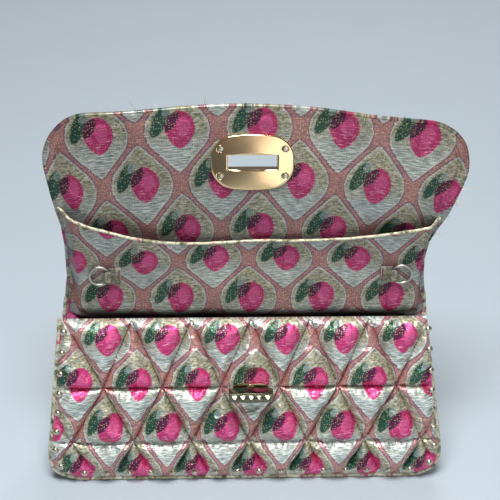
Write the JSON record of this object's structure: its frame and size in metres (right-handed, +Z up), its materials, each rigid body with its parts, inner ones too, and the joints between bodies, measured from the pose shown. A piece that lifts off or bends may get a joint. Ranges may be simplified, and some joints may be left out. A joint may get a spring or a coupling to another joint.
{
  "type": "clutch bag",
  "caption": "Flap clutch bag in quilted brocade, standing open, with a turn lock, a slotted flap plate, edge studs, a slip pocket and swinging strap rings.",
  "frame": {"origin": "middle of the sole that the bag stands on", "axes": "+Z up, +X to the right seen from the front, +Y from the front to the back"},
  "size_m": [0.2723, 0.0709, 0.2625],
  "materials": {
    "brocade": "woven metallic brocade, padded",
    "piping_brocade": "bias-cut brocade over a cord",
    "silver_metal": "polished plated metal",
    "gold_metal": "polished gold plate",
    "pale_gold_metal": "polished pale gold plate"
  },
  "bodies": {
    "bag": {"back_and_flap": "brocade", "back_piping": "piping_brocade", "edge_studs": "pale_gold_metal", "flap_piping": "piping_brocade", "flap_studs": "pale_gold_metal", "front_panel": "brocade", "front_piping": "piping_brocade", "gusset": "brocade", "lock_backplate": "silver_metal", "lock_base": "silver_metal", "plate_screws": "gold_metal", "pocket_panel": "brocade", "ring_tab_left": "brocade", "ring_tab_right": "brocade", "slot_plate_inner": "gold_metal", "slot_plate_outer": "gold_metal"},
    "knob": {"turn_knob": "silver_metal", "spindle_washer": "silver_metal"},
    "left_ring": {"ring_left": "silver_metal"},
    "right_ring": {"ring_right": "silver_metal"}
  },
  "joints": [
    {"name": "knob_turn", "type": "hinge", "parent": "bag", "child": "knob", "pos_m": [0, -0.02437, 0.0753], "axis": [0, -0.9941, 0.1089], "range_deg": [0, 90]},
    {"name": "left_ring_swing", "type": "hinge", "parent": "bag", "child": "left_ring", "pos_m": [-0.09152, -0.01073, 0.15214], "axis": [0, 0, 1], "range_deg": [0, 150]},
    {"name": "right_ring_swing", "type": "hinge", "parent": "bag", "child": "right_ring", "pos_m": [0.09152, -0.01073, 0.15214], "axis": [0, 0, -1], "range_deg": [0, 150]}
  ]
}
